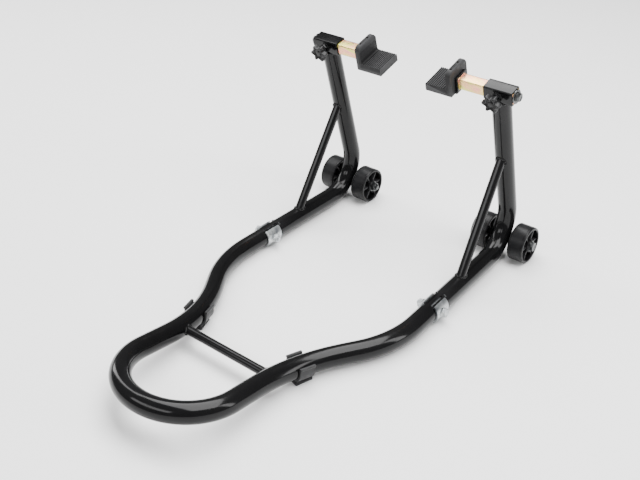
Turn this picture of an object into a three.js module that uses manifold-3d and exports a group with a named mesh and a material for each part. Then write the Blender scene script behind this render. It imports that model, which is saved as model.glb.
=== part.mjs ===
// Rear paddock stand: a low U-shaped tube handle, two side legs that turn up at
// the wheels, and a sliding rubber-lined support pad at the top of each leg.
// Millimetres, +Z up, handle towards -Y, wheels towards +Y, X across the stand.
// The origin is on the floor, under the middle of the stand's outline.
import * as THREE from 'three';
import { mergeVertices } from 'three/addons/utils/BufferGeometryUtils.js';
import Module from 'manifold-3d';

const wasm = await Module();
wasm.setup();

// ---------------------------------------------------------------- dimensions
const GAP = 0.3;                 // clearance between touching pieces

// main tube
const TUBE_R = 16;
const TUBE_WALL = 2;
const HALF_TRACK = 169;          // leg centreline from the middle, at the heel bend
const TUBE_LIFT = 20;            // height of the straight runs' centreline
const HEEL_Y = 366;              // corner of the bend from straight run to upright
const HEEL_RADIUS = 62.5;
const LEAN = 0.29;               // uprights lean towards the handle, per mm of height
const SPLAY = 0.0071;            // uprights spread outwards, per mm of height

// handle
const HANDLE_HALF = 91.6;        // half width of the U
const FRONT_Y = -363;            // centreline of the U's front
const NECK_Y = -145.7;           // first bend, where the sides begin to spread
const NECK_RADIUS = 260;
const BOW_HALF = 178.7;          // half width at the second bend
const BOW_Y = -9.8;              // second bend, back to nearly parallel
const BOW_RADIUS = 190;
const NECK_Z = 22.5;             // the handle climbs a little to its first bend,
const FRONT_Z = 55;              // then steadily to its front
const CROSSBAR_Y = -191.8;
const CROSSBAR_R = 7;
const FOOT_Y = -143;
const FOOT_LENGTH = 27;
const FOOT_HALF_WIDTH = 20;
const FOOT_ARM_HEIGHT = 10.5;    // arms end this far above the tube's centreline
const SOLE_HALF = 9;             // half width of the sole under the clip

// bolted joint between handle and leg
const BUTT_Y = 123;              // where handle tube and leg tube meet
const JOINT_Y = 103;             // through bolt
const SHELL_HALF = 17;           // half length of the zinc saddle plates
const SHELL_WRAP = 56 * Math.PI / 180;
const SHELL_WALL = 2.4;
const SLOT_HALF = 1.2;           // half width of the slots that let the tube end close
const SLOT_REACH = 16;           // half length of the slots
const SLOT_TURN = 18 * Math.PI / 180;
const SPIGOT_HALF = 40;
const BOLT_R = 4;                // M8

// brace
const BRACE_R = 8;
const BRACE_WALL = 1.5;
const BRACE_TOP_Z = 218;
const BRACE_FOOT_Y = 181;

// wheels
const WHEEL_R = 33;
const WHEEL_WIDTH = 29;
const AXLE_Y = 346;
const AXLE_R = 5;                // M10
const BOSS_R = 9;
const BOSS_HALF = 21.8;          // the boss also spaces the wheels off the tube
const WASHER = 1.5;
const HUB_R = 11;
const BUSH_R = 7;
const RIM_WALL = 5;
const WEB = 5;
const RIBS = 6;

// head
const HEAD_Z = 336;              // axis of the sliding square tube
const TILT = Math.atan(LEAN);    // heads sit square on the leaning uprights
const SLEEVE = 25;
const SLEEVE_WALL = 2;
const SLEEVE_LENGTH = 51;
const SLIDE = 20;
const SLIDE_WALL = 2;
const SLIDE_INNER_X = 100.4;
const KNOB_R = 16;
const KNOB_LOBES = 6;
const KNOB_DEPTH = 12;
const KNOB_DROP = 0.5;           // the knob's axis sits just below the slide tube's
const BOSS_DEPTH = 6;
const KNOB_TRAVEL_GAP = 2;       // between the welded nut and the knob
const NUT_AF = 13;               // M8 hexagon across flats
const AXLE_AF = 16;              // M10 hexagon across flats

// support pad, heights measured from the slide tube's axis
const PAD_HALF = 25;             // half width along Y
const LEDGE_X = 44.6;            // inner end of the ledge
const LEDGE_TOP = -3.7;
const PAD_BOTTOM = -18.3;
const PAD_TOP = 29.5;
const PLATE = 5;                 // upright leg of the steel angle, outside the rubber
const PLATE_FLOOR = 3;           // its leg under the ledge
const PLATE_HALF = 14;           // half width of the steel angle along Y
const PLATE_TOP = 14;
const RUBBER_WALL = 10;
const PAD_CORNER = 9;

// ----------------------------------------------------------------- materials
const material = (color, roughness, metalness) =>
  () => new THREE.MeshStandardMaterial({ color, roughness, metalness });
const blackPaint = material(0x0c0c0d, 0.25, 0.3);
const silverZinc = material(0xb8bcc0, 0.35, 0.9);
const yellowZinc = material(0xd8c48c, 0.3, 0.85);
const rubber = material(0x1a1a1b, 0.8, 0);
const blackPlastic = material(0x131314, 0.45, 0);

// ------------------------------------------------------------ solid modelling
function toSolid(geometry) {
  const bare = geometry.clone();
  bare.deleteAttribute('normal');
  bare.deleteAttribute('uv');
  const merged = mergeVertices(bare, 1e-4);
  return new wasm.Manifold(new wasm.Mesh({
    numProp: 3,
    vertProperties: Float32Array.from(merged.attributes.position.array),
    triVerts: Uint32Array.from(merged.index.array),
  }));
}

function toGeometry(solid) {
  const mesh = solid.getMesh();
  const geometry = new THREE.BufferGeometry();
  geometry.setAttribute('position', new THREE.BufferAttribute(new Float32Array(mesh.vertProperties), 3));
  geometry.setIndex(Array.from(mesh.triVerts));
  geometry.computeVertexNormals();
  return geometry;
}

const cut = (base, ...tools) =>
  toGeometry(tools.reduce((solid, tool) => solid.subtract(toSolid(tool)), toSolid(base)));
const join = (base, ...others) =>
  toGeometry(others.reduce((solid, other) => solid.add(toSolid(other)), toSolid(base)));
const common = (a, b) => toGeometry(toSolid(a).intersect(toSolid(b)));

// reflects a right-hand piece across the stand's middle plane
function mirrored(geometry) {
  const flipped = (geometry.index ? geometry.toNonIndexed() : geometry.clone());
  flipped.deleteAttribute('normal');
  flipped.deleteAttribute('uv');
  const p = flipped.attributes.position;
  for (let i = 0; i < p.count; i += 3) {
    const corners = [0, 2, 1].map((k) => new THREE.Vector3().fromBufferAttribute(p, i + k));
    corners.forEach((c, k) => p.setXYZ(i + k, -c.x, c.y, c.z));
  }
  const merged = mergeVertices(flipped, 1e-5);
  merged.computeVertexNormals();
  return merged;
}

// --------------------------------------------------------------- basic shapes
const point = (x, y, z) => new THREE.Vector3(x, y, z);

function ringShape(outer, inner) {
  const shape = new THREE.Shape();
  shape.absarc(0, 0, outer, 0, 2 * Math.PI, false);
  if (inner > 0) {
    const hole = new THREE.Path();
    hole.absarc(0, 0, inner, 0, 2 * Math.PI, true);
    shape.holes.push(hole);
  }
  return shape;
}

function extruded(shape, depth, curveSegments = 8) {
  return new THREE.ExtrudeGeometry(shape, { depth, bevelEnabled: false, curveSegments, steps: 1 });
}

// round bar or tube from point a to point b; halfSides is half its number of sides
function rod(a, b, outer, inner = 0, halfSides = 8) {
  const along = b.clone().sub(a);
  const geometry = extruded(ringShape(outer, inner), along.length(), halfSides);
  const turn = new THREE.Quaternion().setFromUnitVectors(point(0, 0, 1), along.normalize());
  return geometry.applyQuaternion(turn).translate(a.x, a.y, a.z);
}

// bar or ring on an axis parallel to X, from x0 to x1, at the given y and z
const rodX = (x0, x1, y, z, outer, inner = 0, halfSides = 8) =>
  rod(point(x0, y, z), point(x1, y, z), outer, inner, halfSides);
const rodY = (y0, y1, x, z, outer, inner = 0, halfSides = 8) =>
  rod(point(x, y0, z), point(x, y1, z), outer, inner, halfSides);

function box(x0, x1, y0, y1, z0, z1) {
  return new THREE.BoxGeometry(x1 - x0, y1 - y0, z1 - z0)
    .translate((x0 + x1) / 2, (y0 + y1) / 2, (z0 + z1) / 2);
}

// hexagonal ring or prism with its axis along X
function hexX(x0, x1, y, z, acrossFlats, bore = 0) {
  const shape = new THREE.Shape();
  for (let i = 0; i < 6; i++) {
    const angle = i * Math.PI / 3;
    const reach = acrossFlats / Math.sqrt(3);
    shape[i ? 'lineTo' : 'moveTo'](reach * Math.cos(angle), reach * Math.sin(angle));
  }
  if (bore > 0) {
    const hole = new THREE.Path();
    hole.absarc(0, 0, bore, 0, 2 * Math.PI, true);
    shape.holes.push(hole);
  }
  return extruded(shape, x1 - x0, 6).rotateY(Math.PI / 2).translate(x0, y, z);
}

// ------------------------------------------------------------------ bent tube
// A path with a station only where the tube's direction changes.
class StationPath extends THREE.Curve {
  constructor(stations) {
    super();
    this.stations = stations;
  }

  station(u) {
    return this.stations[Math.round(u * (this.stations.length - 1))];
  }

  getPoint(u, target = new THREE.Vector3()) {
    return target.copy(this.station(u).at);
  }

  getPointAt(u, target) {
    return this.getPoint(u, target);
  }

  getTangentAt(u, target = new THREE.Vector3()) {
    return target.copy(this.station(u).heading);
  }
}

// rounds each inner corner of a polyline with its own bend radius
function bentPath(corners, radii, step = Math.PI / 15) {
  const stations = [{
    at: corners[0].clone(),
    heading: corners[1].clone().sub(corners[0]).normalize(),
  }];
  for (let i = 1; i < corners.length - 1; i++) {
    const inward = corners[i].clone().sub(corners[i - 1]).normalize();
    const outward = corners[i + 1].clone().sub(corners[i]).normalize();
    const turn = inward.angleTo(outward);
    const setback = radii[i] * Math.tan(turn / 2);
    const start = corners[i].clone().addScaledVector(inward, -setback);
    const side = outward.clone().addScaledVector(inward, -outward.dot(inward)).normalize();
    const steps = Math.max(2, Math.ceil(turn / step));
    for (let k = 0; k <= steps; k++) {
      const angle = turn * k / steps;
      stations.push({
        at: start.clone()
          .addScaledVector(inward, radii[i] * Math.sin(angle))
          .addScaledVector(side, radii[i] * (1 - Math.cos(angle))),
        heading: inward.clone().multiplyScalar(Math.cos(angle)).addScaledVector(side, Math.sin(angle)),
      });
    }
  }
  const last = corners.length - 1;
  stations.push({
    at: corners[last].clone(),
    heading: corners[last].clone().sub(corners[last - 1]).normalize(),
  });
  return new StationPath(stations);
}

function sweep(path, outer, inner = 0) {
  return new THREE.ExtrudeGeometry(ringShape(outer, inner), {
    steps: path.stations.length - 1,
    extrudePath: path,
    curveSegments: 8,
  });
}

// point and heading of a path where it passes the given y
function passing(path, y) {
  const { stations } = path;
  for (let i = 1; i < stations.length; i++) {
    const [a, b] = [stations[i - 1], stations[i]];
    const share = (y - a.at.y) / (b.at.y - a.at.y);
    if (share >= 0 && share <= 1 && a.at.x > 0 && b.at.x > 0) {
      return {
        at: a.at.clone().lerp(b.at, share),
        heading: a.heading.clone().lerp(b.heading, share).normalize(),
      };
    }
  }
  throw new Error('the path does not pass y = ' + y);
}

// ----------------------------------------------------------------- main lines
const lowerX = (y) => BOW_HALF + (HALF_TRACK - BOW_HALF) * (y - BOW_Y) / (HEEL_Y - BOW_Y);
const uprightX = (z) => HALF_TRACK + SPLAY * (z - TUBE_LIFT);
const uprightY = (z) => HEEL_Y - LEAN * (z - TUBE_LIFT);
const HEAD_X = uprightX(HEAD_Z);
const HEAD_Y = uprightY(HEAD_Z);
// heads, slides and pads are laid out level about the slide tube's axis, then tilted into place
const tilted = (geometry) => geometry.rotateX(TILT).translate(0, HEAD_Y, HEAD_Z);
const addTilted = (name, geometry, finish) => addPair(name, tilted(geometry), finish);

const handleCorners = (endY) => {
  const right = [
    point(HANDLE_HALF, FRONT_Y, FRONT_Z),
    point(HANDLE_HALF, NECK_Y, NECK_Z),
    point(BOW_HALF, BOW_Y, TUBE_LIFT),
    point(lowerX(endY), endY, TUBE_LIFT),
  ];
  const left = right.map((p) => point(-p.x, p.y, p.z)).reverse();
  return [...left, ...right];
};
const U_RADIUS = HANDLE_HALF - 0.5;
const handleRadii = [0, BOW_RADIUS, NECK_RADIUS, U_RADIUS, U_RADIUS, NECK_RADIUS, BOW_RADIUS, 0];
const handlePath = bentPath(handleCorners(BUTT_Y - GAP / 2), handleRadii);
const LEG_TOP = HEAD_Z + SLEEVE;
const legPath = bentPath([
  point(lowerX(BUTT_Y + GAP / 2), BUTT_Y + GAP / 2, TUBE_LIFT),
  point(HALF_TRACK, HEEL_Y, TUBE_LIFT),
  point(uprightX(LEG_TOP), uprightY(LEG_TOP), LEG_TOP),
], [0, HEEL_RADIUS, 0]);

const handleEnvelope = sweep(handlePath, TUBE_R + GAP + 0.1);
const legEnvelope = sweep(legPath, TUBE_R + GAP + 0.1);

// the bolted joint is laid out along its own straight run
const jointAt = point(lowerX(JOINT_Y), JOINT_Y, TUBE_LIFT);
const jointTurn = Math.atan2(BOW_HALF - HALF_TRACK, HEEL_Y - BOW_Y);
const onJoint = (geometry) => geometry.rotateZ(jointTurn).translate(jointAt.x, jointAt.y, jointAt.z);
const jointDrill = () => onJoint(rodX(-40, 40, 0, 0, BOLT_R + GAP, 0, 6));

// --------------------------------------------------------------------- pieces
const stand = new THREE.Group();

function add(name, geometry, finish) {
  const mesh = new THREE.Mesh(geometry, finish());
  mesh.name = name;
  stand.add(mesh);
}

// one right-hand piece and its mirror image
function addPair(name, geometry, finish, suffix = '') {
  add(name + '_right' + suffix, geometry, finish);
  add(name + '_left' + suffix, mirrored(geometry), finish);
}

function handle() {
  const slot = (turn) => onJoint(
    box(-SLOT_HALF, SLOT_HALF, -SLOT_REACH, SLOT_REACH, TUBE_R - 2 * TUBE_WALL, TUBE_R + 4).rotateY(turn));
  const cuts = [jointDrill(), slot(SLOT_TURN), slot(-SLOT_TURN)];
  const tube = cut(sweep(handlePath, TUBE_R, TUBE_R - TUBE_WALL), ...cuts, ...cuts.map(mirrored));
  add('handle_bar', tube, blackPaint);
  const { x, z } = passing(handlePath, CROSSBAR_Y).at;
  const bar = rodX(-x, x, CROSSBAR_Y, z, CROSSBAR_R, CROSSBAR_R - BRACE_WALL, 6);
  add('handle_crossbar', cut(bar, handleEnvelope), blackPaint);
}

// a clip that cradles the tube between two arms, with a sole that stands on the floor
function footSaddle() {
  const { at, heading } = passing(handlePath, FOOT_Y);
  const turn = Math.atan2(-heading.x, heading.y);
  const mouth = TUBE_R + GAP;
  const soleTurn = Math.acos(SOLE_HALF / FOOT_HALF_WIDTH);
  const outline = new THREE.Shape();
  outline.moveTo(FOOT_HALF_WIDTH, FOOT_ARM_HEIGHT);
  outline.lineTo(mouth, FOOT_ARM_HEIGHT);
  outline.absarc(0, 0, mouth, 0, -Math.PI, true);
  outline.lineTo(-mouth, FOOT_ARM_HEIGHT);
  outline.lineTo(-FOOT_HALF_WIDTH, FOOT_ARM_HEIGHT);
  outline.absarc(0, 0, FOOT_HALF_WIDTH, Math.PI, Math.PI + soleTurn, false);
  outline.lineTo(-SOLE_HALF, -at.z);
  outline.lineTo(SOLE_HALF, -at.z);
  outline.absarc(0, 0, FOOT_HALF_WIDTH, -soleTurn, 0, false);
  const clip = extruded(outline, FOOT_LENGTH).rotateX(Math.PI / 2)
    .translate(0, FOOT_LENGTH / 2, 0).rotateZ(turn).translate(at.x, at.y, at.z);
  addPair('foot_saddle', cut(clip, handleEnvelope), rubber);
}

function boltedJoint() {
  const shellInner = TUBE_R + GAP;
  const shellOuter = shellInner + SHELL_WALL;

  const spigotR = TUBE_R - TUBE_WALL - 0.6;
  const spigotMiddle = BUTT_Y - JOINT_Y;
  const spigot = rodY(spigotMiddle - SPIGOT_HALF, spigotMiddle + SPIGOT_HALF, 0, 0, spigotR, spigotR - 2);
  addPair('joint_spigot', cut(onJoint(spigot), jointDrill()), silverZinc);

  const arc = new THREE.Shape();
  arc.absarc(0, 0, shellOuter, -SHELL_WRAP, SHELL_WRAP, false);
  arc.absarc(0, 0, shellInner, SHELL_WRAP, -SHELL_WRAP, true);
  const outerShell = () => extruded(arc, 2 * SHELL_HALF, 5)
    .translate(0, 0, -SHELL_HALF).rotateX(-Math.PI / 2);
  addPair('joint_saddle', cut(onJoint(outerShell()), jointDrill()), silverZinc, '_outer');
  addPair('joint_saddle', cut(onJoint(outerShell().rotateZ(Math.PI)), jointDrill()), silverZinc, '_inner');

  const seat = shellOuter + GAP;
  const shank = rodX(-seat - 9.5, seat + 1, 0, 0, BOLT_R, 0, 6);
  addPair('joint_bolt', onJoint(join(shank, hexX(seat, seat + 5.3, 0, 0, NUT_AF))), silverZinc);
  addPair('joint_nut', onJoint(hexX(-seat - 6.5, -seat, 0, 0, NUT_AF, BOLT_R + GAP)), silverZinc);
}

function sideLeg() {
  const bossSpace = rodX(HALF_TRACK - 40, HALF_TRACK + 40, AXLE_Y, WHEEL_R, BOSS_R + GAP);
  const aboveLeg = tilted(box(100, 250, -60, 60, -SLEEVE / 2 - GAP, 80));
  const tube = cut(sweep(legPath, TUBE_R, TUBE_R - TUBE_WALL), bossSpace, aboveLeg);
  addPair('side_leg', tube, blackPaint);

  const top = point(uprightX(BRACE_TOP_Z), uprightY(BRACE_TOP_Z), BRACE_TOP_Z);
  const foot = point(lowerX(BRACE_FOOT_Y), BRACE_FOOT_Y, TUBE_LIFT);
  addPair('leg_brace', cut(rod(foot, top, BRACE_R, BRACE_R - BRACE_WALL, 6), legEnvelope), blackPaint);

  const boss = rodX(HALF_TRACK - BOSS_HALF, HALF_TRACK + BOSS_HALF, AXLE_Y, WHEEL_R, BOSS_R, AXLE_R + GAP);
  addPair('axle_boss', boss, blackPaint);
}

// wheel with a central web and ribs on both faces, its axis along X
function wheelSolid() {
  const half = WHEEL_WIDTH / 2;
  const bore = BUSH_R + GAP;
  const inside = WHEEL_R - RIM_WALL;
  const profile = [
    [bore, -half], [HUB_R, -half], [HUB_R, -WEB / 2], [inside, -WEB / 2], [inside, -half],
    [WHEEL_R - 2, -half], [WHEEL_R, -half + 2], [WHEEL_R, half - 2], [WHEEL_R - 2, half],
    [inside, half], [inside, WEB / 2], [HUB_R, WEB / 2], [HUB_R, half], [bore, half], [bore, -half],
  ].map(([r, h]) => new THREE.Vector2(r, h));
  const ribs = [];
  for (let i = 0; i < RIBS; i++) {
    const rib = new THREE.BoxGeometry(inside - HUB_R + 2, WHEEL_WIDTH - 6, 2.5);
    ribs.push(rib.translate((inside + HUB_R) / 2, 0, 0).rotateY(i * 2 * Math.PI / RIBS));
  }
  return join(new THREE.LatheGeometry(profile, 24), ...ribs).rotateZ(-Math.PI / 2);
}

function wheels() {
  const wheel = wheelSolid();
  const bore = AXLE_R + GAP;
  const places = [['outer', 1], ['inner', -1]];
  const wheelAt = BOSS_HALF + GAP;
  const washerAt = wheelAt + WHEEL_WIDTH + GAP;
  const headAt = washerAt + WASHER + GAP;
  // a ring around the axle, from a to b on one side of the leg
  const ring = (side, a, b, outer, inner) => {
    const ends = [HALF_TRACK + side * a, HALF_TRACK + side * b];
    return rodX(Math.min(...ends), Math.max(...ends), AXLE_Y, WHEEL_R, outer, inner, 6);
  };
  for (const [where, side] of places) {
    const middle = HALF_TRACK + side * (wheelAt + WHEEL_WIDTH / 2);
    const placed = wheel.clone().translate(middle, AXLE_Y, WHEEL_R);
    addPair('wheel', placed, blackPlastic, '_' + where);
    addPair('wheel_bush', ring(side, wheelAt, wheelAt + WHEEL_WIDTH, BUSH_R, bore), silverZinc, '_' + where);
    addPair('axle_washer', ring(side, washerAt, washerAt + WASHER, BOSS_R + 1, bore), silverZinc, '_' + where);
  }
  const outboard = HALF_TRACK + headAt;
  const inboard = HALF_TRACK - headAt;
  const shank = rodX(inboard - 10, outboard + 1, AXLE_Y, WHEEL_R, AXLE_R, 0, 6);
  const head = hexX(outboard, outboard + 5, AXLE_Y, WHEEL_R, AXLE_AF);
  addPair('axle_bolt', join(shank, head), silverZinc);
  addPair('axle_nut', hexX(inboard - 8, inboard, AXLE_Y, WHEEL_R, AXLE_AF, bore), silverZinc);
}

function squareTube(x0, x1, outer, inner) {
  const shape = new THREE.Shape();
  const corners = [[-1, -1], [1, -1], [1, 1], [-1, 1]];
  corners.forEach(([a, b], i) => shape[i ? 'lineTo' : 'moveTo'](a * outer / 2, b * outer / 2));
  if (inner > 0) {
    const hole = new THREE.Path();
    corners.forEach(([a, b], i) => hole[i ? 'lineTo' : 'moveTo'](a * inner / 2, -b * inner / 2));
    shape.holes.push(hole);
  }
  return extruded(shape, x1 - x0).rotateY(Math.PI / 2).translate(x0, 0, 0);
}

const sleeveOuterX = HEAD_X + SLEEVE_LENGTH / 2;

function head() {
  const shell = squareTube(HEAD_X - SLEEVE_LENGTH / 2, sleeveOuterX, SLEEVE, SLEEVE - 2 * SLEEVE_WALL);
  const front = -SLEEVE / 2;
  const tap = rodY(front - 5, 0, HEAD_X, -KNOB_DROP, BOLT_R + GAP, 0, 6);
  addTilted('head_sleeve', cut(shell, tap), blackPaint);

  const weldNut = hexX(0, BOSS_DEPTH, 0, 0, NUT_AF + 1, BOLT_R + GAP)
    .rotateZ(-Math.PI / 2).translate(HEAD_X, front - GAP, -KNOB_DROP);
  addTilted('knob_boss', weldNut, blackPaint);

  const studTip = -SLIDE / 2 - GAP;
  const knobBack = front - GAP - BOSS_DEPTH - KNOB_TRAVEL_GAP;
  addTilted('knob_stud', rodY(knobBack - 8, studTip, HEAD_X, -KNOB_DROP, BOLT_R, 0, 6), silverZinc);
  addTilted('knob', starKnob(knobBack), blackPlastic);
}

// lobed knob with a short hub behind and a shallow dish in front
function starKnob(back) {
  const outline = new THREE.Shape();
  const count = 6 * KNOB_LOBES;
  for (let i = 0; i < count; i++) {
    const angle = 2 * Math.PI * i / count;
    const reach = KNOB_R * (0.88 + 0.12 * Math.cos(KNOB_LOBES * angle));
    outline[i ? 'lineTo' : 'moveTo'](reach * Math.cos(angle), reach * Math.sin(angle));
  }
  const hub = 4;
  const disc = extruded(outline, KNOB_DEPTH).rotateX(Math.PI / 2).translate(0, -hub + 0.01, 0);
  const neck = rodY(-hub - 1, 0, 0, 0, 8);
  const dish = rodY(-hub - KNOB_DEPTH - 1, -hub - KNOB_DEPTH + 3, 0, 0, KNOB_R * 0.6);
  const bore = rodY(-9, 1, 0, 0, BOLT_R + GAP, 0, 6);
  return cut(join(disc, neck), dish, bore).translate(HEAD_X, back, -KNOB_DROP);
}

function slide() {
  const slideOuterX = sleeveOuterX + 0.5;
  const hollow = SLIDE - 2 * SLIDE_WALL;
  addTilted('slide_tube', squareTube(SLIDE_INNER_X, slideOuterX, SLIDE, hollow), yellowZinc);

  const plug = squareTube(slideOuterX - 8.5, slideOuterX - 0.5, hollow - 2 * GAP, 0);
  const tap = rodX(slideOuterX - 20, slideOuterX + 5, 0, 0, BOLT_R + GAP, 0, 6);
  addTilted('slide_plug', cut(plug, tap), silverZinc);

  const washerX = slideOuterX + GAP;
  addTilted('stop_washer', rodX(washerX, washerX + 2, 0, 0, 13, BOLT_R + GAP), silverZinc);
  const headX = washerX + 2 + GAP;
  const shank = rodX(headX - 22, headX + 1, 0, 0, BOLT_R, 0, 6);
  addTilted('stop_bolt', join(shank, hexX(headX, headX + 5.5, 0, 0, NUT_AF)), silverZinc);
}

// L-shaped outline in the XZ plane, extruded along Y about the middle
function angleSolid(corners, halfWidth) {
  const shape = new THREE.Shape(corners.map(([x, z]) => new THREE.Vector2(x, z)));
  return extruded(shape, 2 * halfWidth).rotateX(Math.PI / 2).translate(0, halfWidth, 0);
}

function supportPad() {
  const plateOut = SLIDE_INNER_X - GAP;
  const plateIn = plateOut - PLATE;
  const floor = PAD_BOTTOM + PLATE_FLOOR;
  addTilted('pad_plate', angleSolid([
    [plateOut, PAD_BOTTOM], [plateOut, PLATE_TOP], [plateIn, PLATE_TOP], [plateIn, floor],
    [LEDGE_X + 4, floor], [LEDGE_X + 4, PAD_BOTTOM],
  ].reverse(), PLATE_HALF), blackPaint);

  const back = plateIn - GAP;
  const wall = back - RUBBER_WALL;
  const under = floor + GAP;
  const block = angleSolid([
    [back, under], [back, PAD_TOP], [wall, PAD_TOP], [wall, LEDGE_TOP],
    [LEDGE_X, LEDGE_TOP], [LEDGE_X, under],
  ].reverse(), PAD_HALF);

  // rounded top corners of the wall, seen along X
  const face = new THREE.Shape();
  face.moveTo(-PAD_HALF, PAD_BOTTOM);
  face.lineTo(PAD_HALF, PAD_BOTTOM);
  face.lineTo(PAD_HALF, PAD_TOP - PAD_CORNER);
  face.absarc(PAD_HALF - PAD_CORNER, PAD_TOP - PAD_CORNER, PAD_CORNER, 0, Math.PI / 2, false);
  face.absarc(PAD_CORNER - PAD_HALF, PAD_TOP - PAD_CORNER, PAD_CORNER, Math.PI / 2, Math.PI, false);
  const envelope = extruded(face, 100, 4)
    .rotateX(Math.PI / 2).rotateZ(Math.PI / 2).translate(20, 0, 0);
  addTilted('pad_rubber', common(block, envelope), rubber);
}

handle();
footSaddle();
boltedJoint();
sideLeg();
wheels();
head();
slide();
supportPad();

export default stand;
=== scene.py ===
import math

import bmesh
import bpy
import numpy as np
from mathutils import Matrix, Vector


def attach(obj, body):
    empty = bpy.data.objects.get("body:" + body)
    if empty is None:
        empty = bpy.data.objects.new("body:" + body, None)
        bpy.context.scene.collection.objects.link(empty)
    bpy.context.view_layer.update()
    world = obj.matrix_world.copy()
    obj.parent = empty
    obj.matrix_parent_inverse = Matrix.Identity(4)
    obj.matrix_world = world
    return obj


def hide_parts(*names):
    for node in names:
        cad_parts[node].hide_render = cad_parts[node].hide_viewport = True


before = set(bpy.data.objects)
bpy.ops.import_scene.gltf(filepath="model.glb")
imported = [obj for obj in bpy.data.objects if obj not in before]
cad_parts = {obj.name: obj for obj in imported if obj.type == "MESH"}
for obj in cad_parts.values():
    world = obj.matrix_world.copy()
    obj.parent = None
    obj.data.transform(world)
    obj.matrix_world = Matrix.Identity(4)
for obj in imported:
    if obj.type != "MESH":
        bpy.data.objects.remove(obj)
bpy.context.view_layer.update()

# ------------------------------------------------------------------ dimensions
MM = 0.001
TUBE_R, TUBE_WALL = 16.0, 2.0
HALF_TRACK, TUBE_LIFT = 169.0, 20.0
HEEL_Y, HEEL_RADIUS = 366.0, 62.5
LEAN, SPLAY = 0.29, 0.0071
HANDLE_HALF, FRONT_Y, FRONT_Z = 91.6, -363.0, 55.0
NECK_Y, NECK_Z, NECK_RADIUS = -145.7, 22.5, 260.0
BOW_HALF, BOW_Y, BOW_RADIUS = 178.7, -9.8, 190.0
CROSSBAR_Y, CROSSBAR_R = -191.8, 7.0
FOOT_Y, FOOT_LENGTH, FOOT_HALF, FOOT_ARM, SOLE_HALF = -143.0, 27.0, 20.0, 10.5, 9.0
BUTT_Y, JOINT_Y = 123.0, 103.0
SHELL_HALF, SHELL_R, SHELL_BORE = 17.0, 18.7, 16.15
SHELL_WRAP = math.radians(56)
SLOT_HALF, SLOT_REACH, SLOT_TURN = 1.25, 16.0, math.radians(18)
BRACE_R, BRACE_TOP_Z, BRACE_FOOT_Y = 8.0, 218.0, 181.0
WHEEL_R, WHEEL_WIDTH, AXLE_Y, AXLE_R = 33.0, 29.0, 346.0, 5.0
BOSS_R, BOSS_HALF = 9.0, 21.8
HEAD_Z, SLEEVE, SLEEVE_LENGTH = 336.0, 25.0, 51.0
TILT = math.atan(LEAN)
KNOB_DROP, BOSS_DEPTH = 0.5, 6.0
KNOB_R = 12.9                   # mean radius of the star's lobes
# (y, radius, share of the lobes): where the share is 1, the radius is a factor on the lobes
KNOB_PROFILE = (
    (0, 7.2, 0), (-0.6, 8.0, 0), (-3.6, 8.4, 0), (-4.3, 9.6, 0.35), (-4.6, 0.86, 1), (-5.6, 0.96, 1),
    (-7.0, 0.99, 1), (-12.6, 0.99, 1), (-14.6, 0.955, 1), (-15.7, 0.88, 1), (-16.0, 0.78, 1),
    (-15.6, 0.70, 1), (-13.6, 8.2, 0.15), (-12.8, 7.2, 0), (-12.8, 5.2, 0), (-13.9, 4.8, 0),
    (-14.1, 4.2, 0))
SLIDE, SLIDE_INNER_X = 20.0, 100.4
PAD_HALF, LEDGE_X, LEDGE_TOP, PAD_BOTTOM, PAD_TOP, PAD_CORNER = 25.0, 44.6, -3.7, -18.3, 29.5, 9.0
PLATE, PLATE_FLOOR, PLATE_HALF, PLATE_TOP, RUBBER_WALL = 5.0, 3.0, 14.0, 14.0, 10.0
RIBS, RIB_PITCH, WALL_LINES, WALL_LINE_PITCH = 10, 3.55, 7, 2.4
PAD_HOLES = (-13.0, 8.0)
GAP = 0.3                       # kept between neighbouring parts
SIDES = (("right", 1), ("left", -1))


def lower_x(y):
    return BOW_HALF + (HALF_TRACK - BOW_HALF) * (y - BOW_Y) / (HEEL_Y - BOW_Y)


def upright_x(z):
    return HALF_TRACK + SPLAY * (z - TUBE_LIFT)


def upright_y(z):
    return HEEL_Y - LEAN * (z - TUBE_LIFT)


HEAD_X, HEAD_Y = upright_x(HEAD_Z), upright_y(HEAD_Z)
SLEEVE_OUT = HEAD_X + SLEEVE_LENGTH / 2
# heads, slides and pads are laid out level about the slide tube's axis, then tilted into place
ON_HEAD = Matrix.Translation((0, HEAD_Y, HEAD_Z)) @ Matrix.Rotation(TILT, 4, "X")


# ---------------------------------------------------------------- shape kernel
# A shape is (list of points in mm, list of faces as index lists).
def vec(x, y, z):
    return np.array([x, y, z], float)


def unit(v):
    return v / np.linalg.norm(v)


def merge(*shapes):
    points, faces = [], []
    for p, f in shapes:
        base = len(points)
        points += [np.array(q, float) for q in p]
        faces += [[i + base for i in face] for face in f]
    return points, faces


def moved(shape, matrix):
    return [np.array(matrix @ Vector(p)) for p in shape[0]], shape[1]


def shifted(shape, x=0.0, y=0.0, z=0.0):
    return moved(shape, Matrix.Translation((x, y, z)))


def mirrored(shape):
    return [p * (-1, 1, 1) for p in shape[0]], [face[::-1] for face in shape[1]]


def loft(rings, closed=False, caps=True):
    """Joins rings that all have the same number of points."""
    n = len(rings[0])
    points = [p for ring in rings for p in ring]
    faces = []
    count = len(rings)
    for i in range(count if closed else count - 1):
        a, b = i * n, (i + 1) % count * n
        faces += [[a + k, a + (k + 1) % n, b + (k + 1) % n, b + k] for k in range(n)]
    if caps and not closed:
        faces.append(list(range(n))[::-1])
        faces.append([(count - 1) * n + k for k in range(n)])
    return points, faces


def axes_of(heading):
    side = unit(np.cross(heading, vec(0, 0, 1) if abs(heading[2]) < 0.9 else vec(1, 0, 0)))
    return side, np.cross(side, heading)


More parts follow.
